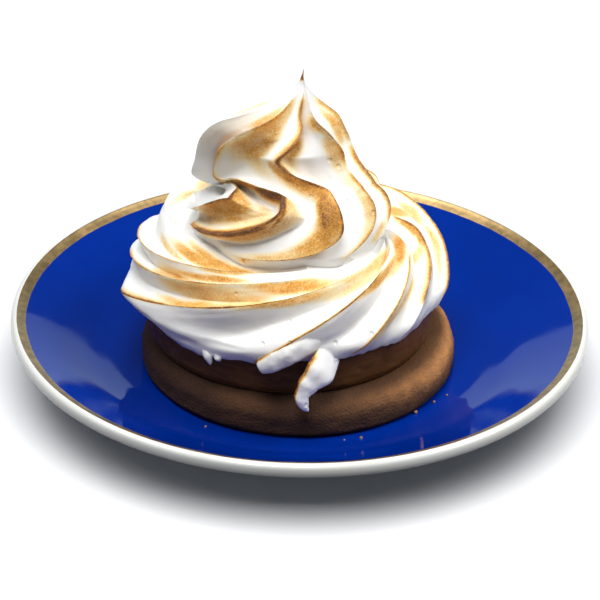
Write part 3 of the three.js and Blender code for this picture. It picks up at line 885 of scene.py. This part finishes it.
# Meringue
class Tier:
    """One piped tier: a drum whose columns and rows are moved onto its ridges."""

    def __init__(self, ridges, rows, columns, sharpness):
        self.ridges = ridges
        self.sharpness = sharpness
        self.mesh = self.drum(len(ridges) * columns, rows + 3)
        points = positions(self.mesh)
        turn = np.arctan2(points[:, 0], -points[:, 1]) % math.tau
        level = np.round(points[:, 2]).astype(int)
        place = turn / math.tau * len(ridges)
        place = np.where(np.hypot(points[:, 0], points[:, 1]) < 0.5, 0, place)
        column = np.round(place * columns) / columns % len(ridges)
        self.gap = np.floor(column + TINY).astype(int)
        step = np.clip(column - self.gap, 0, 1)
        self.across = 0.5 - 0.5 * np.cos(math.pi * step)
        self.along = np.clip((level - 2) / rows, 0, 1)
        self.bottom = level == 0
        self.underside = level == 1
        self.top = level == rows + 3
        self.fixed = self.bottom | self.underside | self.top

    @staticmethod
    def drum(columns, last):
        """A drum of unit radius that is a row high for each row, and pointed on the axis at both ends."""
        mesh = bmesh.new()
        wall = mesh.edges.new((mesh.verts.new((0, -1, 1)), mesh.verts.new((0, -1, last - 1))))
        bmesh.ops.subdivide_edges(mesh, edges=[wall], cuts=last - 3)
        by_height = sorted(mesh.verts, key=lambda vertex: vertex.co.z)
        mesh.edges.new((mesh.verts.new((0, 0, 0)), by_height[0]))
        mesh.edges.new((by_height[-1], mesh.verts.new((0, 0, last))))
        return spun(mesh, columns, 1e-4)

    def close(self, points, degrees, radius, bottom, offset, top):
        """Puts the rim of the underside and the points on the axis in their places."""
        rim = degrees[self.underside]
        points[self.underside] = place_on(radius, np.full_like(rim, bottom), rim, offset)
        points[self.bottom] = (offset, 0, bottom)
        points[self.top] = top

    def each(self, field):
        """A field of the ridge before each vertex."""
        return np.array([getattr(ridge, field) for ridge in self.ridges])[self.gap]

    def ends(self, values, wrap):
        """A value on the ridge before each vertex and on the next, from one value or row a ridge."""
        table = np.array([np.broadcast_to(value, self.along.shape) for value in values])
        pick = np.arange(len(self.along))
        following = (self.gap + 1) % len(self.ridges)
        return table[self.gap, pick], table[following, pick] + np.where(following == 0, wrap, 0)

    def between(self, values, wrap=0.0):
        """A value at each vertex, between its ridge and the next."""
        before, after = self.ends(values, wrap)
        return mix(before, after, self.across)

    def width(self, angles, radius):
        """Width of the hollow at each vertex, in millimetres."""
        before, after = self.ends(angles, 360)
        return np.radians(after - before) * radius

    def scoop(self, valley, rope):
        """How far the surface is sunk between two crests: 0 on a crest and 1 in the valley."""
        share = np.where(self.across < valley, self.across / valley, (1 - self.across) / (1 - valley))
        share = np.clip(share, 0, 1)
        return mix(np.sin(math.pi / 2 * share) ** self.sharpness, share ** ROPE_ROUNDNESS, rope)

    def toast(self, scorches, blots, width, wander):
        """How toasted each vertex is, from 0 for white to 1 for burnt, painted shadow from some blots
        included.
        """
        sideways = self.across + wander[0] * WANDER_ACROSS
        up = self.along + wander[1] * WANDER_ALONG
        tan = np.zeros_like(self.along)
        burnt = np.zeros_like(self.along)
        far = 1e3
        for blot in blots:
            away = sideways - blot.across
            rise = up - blot.along - blot.slope * away
            distance = np.hypot(away / blot.wide, rise / blot.tall)
            here = blot.tan * (1 - ease(distance, BLOT_CORE, BLOT_RIM)) * (self.gap == blot.ridge)
            tan = np.cbrt(tan ** 3 + here ** 3)
        for scorch in scorches:
            run = inside(up, scorch.start, scorch.end, SCORCH_END)
            gap_before = (scorch.ridge - 1) % len(self.ridges)
            after = np.where(self.gap == scorch.ridge, self.across * width, far)
            before = np.where(self.gap == gap_before, (1 - self.across) * width, far)
            fade = swell(after, scorch.after) + swell(before, scorch.before)
            tan = np.maximum(tan, scorch.tan * np.minimum(fade, 1) * run)
            burnt = np.maximum(burnt, scorch.line * run * swell(np.minimum(after, before), scorch.wide))
        return np.clip(np.maximum(tan * (1 + WANDER_TAN * wander[2]), 0) + burnt * (1 - tan * 0.5), 0, 1)


def ragged_skirt(points, along):
    """The lower tier's points with the skirt's edge frayed and tucked in, and the creases above it."""
    degrees = degrees_from(points, LOWER_OFFSET)
    outward = outward_from(points, LOWER_OFFSET)
    edge = 1 - ease(along, 0, SKIRT_EDGE)
    hang = sum(depth * swell(degrees - angle, spread) for angle, spread, depth in SKIRT_HANGS)
    lift = (layered_noise(points * (1, 1, 0), SKIRT_FRAY) - hang) * edge
    ragged = points + lift[:, None] * (0, 0, 1) - outward * (SKIRT_TUCK * edge)[:, None]
    wander = noise_at(points, 0.3, 12) * CREASE_WANDER
    for crease in CREASES:
        share = (degrees - crease.start) / (crease.end - crease.start)
        away = points[:, 2] - mix(crease.low, crease.high, share) - wander
        groove = crease.depth * swell(away, CREASE_WIDTH) * inside(share, 0.1, 0.9, 0.1) * (along < 0.5)
        ragged -= outward * groove[:, None]
    return ragged


def lower_tier(settings, bottom):
    """The lower tier, its points and the widths of its hollows."""
    tier = Tier(LOWER_RIDGES, settings.lower_rows, settings.columns, settings.sharpness)
    along = tier.along
    radius, height, out, up = CrestLine(LOWER_CREST).at(along)
    foot, wall, top = LOWER_DEPTH
    angles = [ridge.foot + ridge.climb * along ** ridge.bend for ridge in LOWER_RIDGES]
    degrees = tier.between(angles, 360)
    jut = tier.between([ridge.jut for ridge in LOWER_RIDGES]) * swell(along - JUT_ALONG, JUT_TALL)
    depth = mix(mix(foot, wall, ease(along, 0, LOWER_WALL)), top, ease(along, LOWER_TOP, 1))
    sunk = depth * tier.scoop(LOWER_VALLEY, tier.each("rope"))
    points = place_on(radius - sunk * out + jut, height - sunk * up, degrees, LOWER_OFFSET)
    tier.close(points, degrees, SKIRT_INSIDE, bottom, LOWER_OFFSET, (LOWER_OFFSET, 0, LOWER_CREST[-1][1]))
    skirted = np.where(tier.fixed[:, None], points, ragged_skirt(points, along))
    return tier, skirted, tier.width(angles, radius)


def upper_angle(ridge, along):
    """Angle of an upper ridge: foot to belly, back to the crown, and on to the tip."""
    rise = np.clip((along - STATION.foot) / (STATION.belly - STATION.foot), 0, 1)
    ring = ridge.belly + (ridge.foot - ridge.belly) * (1 - rise) ** ridge.curl
    swung_back = mix(ring, ridge.crown, ease(along, STATION.turn, ridge.back))
    return swung_back + (ridge.tip - ridge.crown) * ease(along, ridge.back - TURN_OVERLAP, ridge.end)


def slumped(degrees, along):
    """How far the upper tier has slumped, in millimetres."""
    gone = 1 - ease(along, STATION.crown, SLUMP_END)
    total = np.zeros_like(along)
    for slump in SLUMPS:
        away = (degrees - slump.angle + 540) % 360 - 180
        ring = slump.ring * ease(along, STATION.foot, STATION.belly)
        depth = mix(ring, slump.crown, ease(along, STATION.turn, STATION.crown))
        total += depth * gone * swell(away, slump.spread)
    return total


def rounded_lobe(tier, points):
    """The upper tier's points with the hanging lobe smoothed."""
    degrees = degrees_from(points, UPPER_OFFSETS[1])
    away = np.hypot((degrees - LOBE.angle) / LOBE.spread, (tier.along - LOBE.along) / LOBE.tall)
    move_to(tier.mesh, points)
    chosen = [vertex for vertex, distance in zip(tier.mesh.verts, away) if distance < 1]
    for _ in range(LOBE.passes):
        bmesh.ops.smooth_vert(tier.mesh, verts=chosen, factor=LOBE_SMOOTHING,
                              use_axis_x=True, use_axis_y=True, use_axis_z=True)
    return mix(points, positions(tier.mesh), 1 - ease(away, 0.5, 1)[:, None])


def upper_tier(settings):
    """The upper tier, its points and the widths of its hollows."""
    tier = Tier(UPPER_RIDGES, settings.upper_rows, settings.columns, settings.sharpness)
    along = tier.along
    radius, height, out, up = CrestLine(UPPER_CREST).at(along)
    foot, ring, crown, tip = UPPER_DEPTH
    angles = [upper_angle(ridge, along) for ridge in UPPER_RIDGES]
    degrees = tier.between(angles, 360)
    at_neck = tier.between([ridge.neck for ridge in UPPER_RIDGES]) * ease(along, STATION.belly, STATION.neck)
    at_crown = tier.between([ridge.reach for ridge in UPPER_RIDGES])
    stand_out = mix(at_neck, at_crown, ease(along, STATION.neck, STATION.crown))
    on_crown = ease(along, STATION.turn, STATION.crown)
    to_tip = ease(along, STATION.draw, 1)
    scoop = tier.each("hollow") * tier.scoop(tier.each("valley"), tier.each("rope") * (1 - on_crown))
    on_ring = mix(foot, ring, ease(along, 0, STATION.ring_deep))
    sunk = mix(mix(on_ring, crown, on_crown), tip, to_tip) * scoop
    low, middle, peak = UPPER_OFFSETS
    offset = mix(mix(low, middle, on_crown), peak, ease(along, STATION.lean, 1))
    points = place_on(radius - sunk * out + stand_out * (1 - to_tip),
                      height - sunk * up - slumped(degrees, along), degrees, offset)
    bottom_radius, bottom = UPPER_CREST[0]
    tier.close(points, degrees, bottom_radius / 2, bottom, low, (peak + PEAK_LEAN, 0, PEAK_TOP))
    return tier, rounded_lobe(tier, points), tier.width(angles, radius)


def relief(tier, points, settings):
    """Nozzle lines along the ridges and a soft unevenness, in millimetres."""
    lines = np.stack([tier.gap + tier.across, tier.along, tier.gap], axis=-1) * NOZZLE_LINES
    crest = np.minimum(tier.across, 1 - tier.across)
    clear = ease(crest, 0, 0.12) * ease(tier.along, 0.02, 0.1) * (1 - ease(tier.along, 0.85, 0.97))
    streaks = noise_at(lines, 1, 2) * settings.streaks / MM
    uneven = layered_noise(points, UNEVENNESS)
    return np.where(tier.fixed, 0, streaks * clear + uneven * (1 - ease(tier.along, 0.8, 0.95)))


def toasted(piece, toast):
    """The piece, with how toasted each vertex is kept in its mesh, painted shadow included."""
    layer = piece.data.attributes.new(TOAST_AND_SHADE, "FLOAT", "POINT")
    layer.data.foreach_set("value", toast.astype(np.float32))
    return piece


def dressed_tier(name, made, scorches, blots, settings, shift, burnt_from=1.0):
    """A tier's object, with its relief and its toast, which holds a little painted shadow."""
    tier, points, width = made
    wander = [noise_at(points, 0.16, seed) for seed in WANDER_SEEDS]
    toast = tier.toast(scorches, blots, width, wander)
    if burnt_from < 1:
        toast = np.maximum(toast, PEAK_TOAST * ease(tier.along, burnt_from, 1))
    move_to(tier.mesh, points)
    shaped = points + normals(tier.mesh) * relief(tier, points, settings)[:, None]
    move_to(tier.mesh, (shaped + shift) * MM)
    bmesh.ops.recalc_face_normals(tier.mesh, faces=tier.mesh.faces)
    return toasted(finished(name, tier.mesh, []), toast)


def smooth_through(knots, values, at):
    """A smooth curve through a few values."""
    slopes = np.gradient(values, knots)
    index = np.clip(np.searchsorted(knots, at, side="right") - 1, 0, len(knots) - 2)
    step = knots[index + 1] - knots[index]
    share = (at - knots[index]) / step
    start = values[index] * (1 + 2 * share) * (1 - share) ** 2
    leave = slopes[index] * share * (1 - share) ** 2 * step
    end = values[index + 1] * share ** 2 * (3 - 2 * share)
    arrive = slopes[index + 1] * share ** 2 * (share - 1) * step
    return start + leave + end + arrive


def strip_axes(end, along):
    """The middle of a loose end at each place along it, and its directions sideways and outward."""
    angles, heights, radii, _ = np.array(end.path, dtype=float).T
    path = place_on(radii, heights, angles, LOWER_OFFSET)
    knots = np.linspace(0, 1, len(path))
    fine = np.linspace(0, 1, PATH_SAMPLES)
    smooth = np.stack([smooth_through(knots, column, fine) for column in path.T], axis=-1)
    centre = sampled(along, fine, smooth)
    tangent = unit_rows(sampled(along, fine, np.gradient(smooth, axis=0)))
    outward = outward_from(centre, LOWER_OFFSET)
    return centre, unit_rows(np.cross(outward, tangent)), outward


def loose_end(name, end, shift):
    """A rounded strip along a path: a sphere drawn out along it."""
    mesh = bmesh.new()
    bmesh.ops.create_uvsphere(mesh, u_segments=40, v_segments=48, radius=1)
    unit = positions(mesh)
    along = np.arccos(np.clip(unit[:, 2], -1, 1)) / math.pi
    girth = np.hypot(unit[:, 0], unit[:, 1])
    blunt = np.where(girth > TINY, np.maximum(girth, TINY) ** -end.bluntness, 0)
    width = np.interp(along, np.linspace(0, 1, len(end.path)), [point[3] for point in end.path])
    depth = np.minimum(width, end.thickness)
    centre, sideways, outward = strip_axes(end, along)
    shaped = centre + sideways * (unit[:, 0] * blunt * width / 2)[:, None]
    shaped -= outward * (unit[:, 1] * blunt * depth / 2)[:, None]
    lumps = layered_noise(shaped, END_LUMPS) * np.minimum(width / 5, 1)
    shaped += (sideways * unit[:, :1] - outward * unit[:, 1:2]) * lumps[:, None]
    move_to(mesh, (shaped + shift) * MM)
    bmesh.ops.recalc_face_normals(mesh, faces=mesh.faces)
    upper_edge = ease(-unit[:, 0] / np.maximum(girth, TINY), 0.75, 1)
    toast = end.burnt * upper_edge * inside(along, 0.3, 0.95, 0.1) * (1 + 0.3 * noise_at(shaped, 0.5, 3))
    return toasted(finished(name, mesh, []), np.clip(toast, 0, 1))


def joined(pieces):
    """The first piece, with the others melted into it."""
    whole = pieces[0]
    for other in pieces[1:]:
        melt = whole.modifiers.new("Join", "BOOLEAN")
        melt.operation = "UNION"
        melt.solver = "MANIFOLD"
        melt.object = other
    view = bpy.context.evaluated_depsgraph_get()
    data = bpy.data.meshes.new_from_object(whole.evaluated_get(view))
    whole.modifiers.clear()
    whole.data = data
    for other in pieces[1:]:
        bpy.data.objects.remove(other)
    return whole


def meringue_finish(settings):
    """Satin meringue, coloured by its toast and a little painted shadow, with specks and small burst
    bubbles.
    """
    material, shader = new_material("toasted_meringue")
    place = shader.place()
    toast = shader.add("ShaderNodeAttribute", attribute_name=TOAST_AND_SHADE).outputs["Fac"]
    patchy = shader.spread(shader.speckle(place, 300, 4, 0.6), 0.3, 0.7, 0.8, 1.2)
    specks = shader.spread(shader.speckle(place, 1900, 3, 0.6), 0.3, 0.7, 0.72, 1.28)
    char = shader.maths("MULTIPLY", shader.maths("MULTIPLY", toast, patchy), specks)
    stops = ((0, settings.white), (0.2, settings.cream), (0.46, settings.tan), (0.74, settings.brown),
             (1, settings.burnt))
    bubbles = shader.add("ShaderNodeTexVoronoi", {"Vector": place, "Scale": 420}).outputs
    cell = shader.add("ShaderNodeSeparateColor", {0: bubbles["Color"]}).outputs[0]
    burst = shader.spread(cell, 0.9, 0.92)
    dent = shader.maths("MULTIPLY", shader.spread(bubbles["Distance"], 0.16, 0.3, -1, 0), burst)
    fine = shader.maths("MULTIPLY_ADD", shader.speckle(place, 1300, 3, 0.6), 0.16, dent)
    finish_material(shader, {
        "Base Color": shader.ramp(char, stops),
        "Roughness": shader.spread(char, 0, 0.8, 0.42, 0.62),
        "Normal": shader.bump(fine, 0.32 * MM),
        "Subsurface Weight": 0.4,
        "Subsurface Radius": (0.0035, 0.003, 0.0026),
        "Subsurface Scale": 1.0,
        "Specular IOR Level": 0.35,
    })
    return material


class TART_OT_meringue(bpy.types.Operator):
    """Pipe the two tiers of meringue, with their loose ends, and toast them"""

    bl_idname = "tart.meringue"
    bl_label = "Toasted meringue"

    def execute(self, context):
        settings = context.scene.tart_meringue
        bake = context.scene.tart_bake
        shift = np.array([bake.centre[0] / MM, bake.centre[1] / MM, WELL_TOP])
        bottom = (bake.curd_top + bake.gap) / MM
        lower = dressed_tier("lower_tier", lower_tier(settings, bottom), LOWER_SCORCHES, LOWER_BLOTS,
                             settings, shift)
        upper = dressed_tier("upper_tier", upper_tier(settings), UPPER_SCORCHES, UPPER_BLOTS,
                             settings, shift, PEAK_BURNT)
        ends = [loose_end("loose_end", end, shift) for end in (FINGER, DRIP, *DRIBBLES)]
        meringue = joined([lower, upper, *ends])
        meringue.name = "piped_meringue"
        meringue.data.name = "piped_meringue"
        meringue.data.materials.clear()
        meringue.data.materials.append(meringue_finish(settings))
        if TOAST_AND_SHADE not in meringue.data.attributes:
            raise RuntimeError("the joined meringue lost its toast")
        carry(meringue, "toasted_meringue", "meringue")
        return {"FINISHED"}


class TART_OT_crumbs(bpy.types.Operator):
    """Scatter a few crumbs round the biscuit"""

    bl_idname = "tart.crumbs"
    bl_label = "Crumbs"

    def execute(self, context):
        mesh = bmesh.new()
        for number, crumb in enumerate(CRUMBS):
            made = bmesh.ops.create_icosphere(mesh, subdivisions=2, radius=crumb.size * MM / 2)["verts"]
            for vertex in made:
                vertex.co *= 1 + 0.45 * noise.noise(vertex.co * 2600 + Vector((number * 9.1, 0, 0)))
                vertex.co.z = max(vertex.co.z, -0.3 * crumb.size * MM)
            turn = Euler((0, 0, number * 1.9)).to_matrix()
            bmesh.ops.rotate(mesh, verts=made, cent=(0, 0, 0), matrix=turn)
            height = WELL_TOP + 0.32 * crumb.size
            bmesh.ops.translate(mesh, verts=made, vec=Vector((crumb.x, crumb.y, height)) * MM)
        crumbs = finished("biscuit_crumbs", mesh, [bpy.data.materials["baked_biscuit"]])
        carry(crumbs, "baked_biscuit")
        return {"FINISHED"}


# Stage
def facing(place, aim):
    """The turn of a light or a camera that looks from a place at a point."""
    return (Vector(aim) - Vector(place)).to_track_quat("-Z", "Y")


def soft_box(box, settings):
    data = bpy.data.lights.new(box.name, "AREA")
    data.shape = "RECTANGLE"
    data.size, data.size_y = box.size
    data.energy = getattr(settings, box.power)
    data.color = box.colour
    light = bpy.data.objects.new(box.name, data)
    light.location = box.place
    light.rotation_euler = facing(box.place, box.aim).to_euler()
    bpy.context.collection.objects.link(light)
    return light


def light_table(lights, table, state):
    """These lights reach only the table, or all but the table."""
    receivers = bpy.data.collections.new("light_" + state.lower())
    receivers.objects.link(table)
    receivers.collection_objects[0].light_linking.link_state = state
    for light in lights:
        light.light_linking.receiver_collection = receivers


def table_finish(settings):
    material, shader = new_material("pale_table")
    place = shader.place()
    warm = tinted(settings.floor, (1.0, 0.995, 0.985))
    finish_material(shader, {
        "Base Color": shader.mottled(shader.speckle(place, 3, 3), settings.floor, warm),
        "Roughness": shader.spread(shader.speckle(place, 80, 3), 0.3, 0.7, 0.55, 0.7),
        "Specular IOR Level": 0.2,
    })
    return material


def set_table(settings):
    """A pale table that sends no light back up to the tart."""
    mesh = bmesh.new()
    bmesh.ops.create_grid(mesh, x_segments=4, y_segments=4, size=TABLE_HALF)
    bmesh.ops.translate(mesh, verts=mesh.verts, vec=(0, 0, -TABLE_DROP * MM))
    table = finished("table", mesh, [table_finish(settings)])
    table.visible_diffuse = False
    return table


def set_room(scene, settings):
    world = bpy.data.worlds.new("studio")
    world.use_nodes = True
    back = world.node_tree.nodes["Background"]
    back.inputs["Color"].default_value = ROOM_COLOUR
    back.inputs["Strength"].default_value = settings.fill
    scene.world = world
    scene.view_settings.view_transform = "Standard"


def set_camera(scene, settings):
    data = bpy.data.cameras.new("camera")
    data.sensor_width = SENSOR_WIDTH
    data.lens = settings.lens
    camera = bpy.data.objects.new("camera", data)
    look = facing(settings.camera_place, settings.camera_aim).to_matrix().to_4x4()
    roll = Matrix.Rotation(settings.roll, 4, "Z")
    camera.matrix_world = Matrix.Translation(settings.camera_place) @ look @ roll
    bpy.context.collection.objects.link(camera)
    scene.camera = camera


class TART_OT_stage(bpy.types.Operator):
    """Set the table, the soft boxes and the camera"""

    bl_idname = "tart.stage"
    bl_label = "Studio"

    def execute(self, context):
        scene = context.scene
        settings = scene.tart_stage
        table = set_table(settings)
        boxes = [soft_box(box, settings) for box in TART_BOXES]
        soft_box(BACKDROP, settings)
        table_box = soft_box(TABLE_BOX, settings)
        light_table([table_box], table, "INCLUDE")
        light_table(boxes, table, "EXCLUDE")
        set_room(scene, settings)
        set_camera(scene, settings)
        return {"FINISHED"}


class TART_PT_panel(bpy.types.Panel):
    """Pieces of the tart in the 3D view's sidebar"""

    bl_idname = "TART_PT_panel"
    bl_label = "Lemon meringue tart"
    bl_space_type = "VIEW_3D"
    bl_region_type = "UI"
    bl_category = "Tart"

    def draw(self, context):
        column = self.layout.column(align=True)
        for operator in OPERATORS:
            column.operator(operator.bl_idname)
        for name, settings in SETTINGS:
            box = self.layout.box()
            box.label(text=settings.__doc__)
            for field in settings.__annotations__:
                box.prop(getattr(context.scene, name), field)


SETTINGS = (
    ("tart_plate", PlateSettings),
    ("tart_bake", TartSettings),
    ("tart_meringue", MeringueSettings),
    ("tart_stage", StageSettings),
)
OPERATORS = (TART_OT_plate, TART_OT_biscuit, TART_OT_curd, TART_OT_meringue, TART_OT_crumbs, TART_OT_stage)
CLASSES = (*(settings for _, settings in SETTINGS), *OPERATORS, TART_PT_panel)


def register():
    for item in CLASSES:
        bpy.utils.register_class(item)
    for name, settings in SETTINGS:
        setattr(bpy.types.Scene, name, bpy.props.PointerProperty(type=settings))


def unregister():
    for name, _ in SETTINGS:
        delattr(bpy.types.Scene, name)
    for item in reversed(CLASSES):
        bpy.utils.unregister_class(item)


def main():
    register()
    bpy.ops.tart.plate()
    bpy.ops.tart.biscuit()
    bpy.ops.tart.curd()
    bpy.ops.tart.meringue()
    bpy.ops.tart.crumbs()
    bpy.ops.tart.stage()


if __name__ == "__main__":
    main()
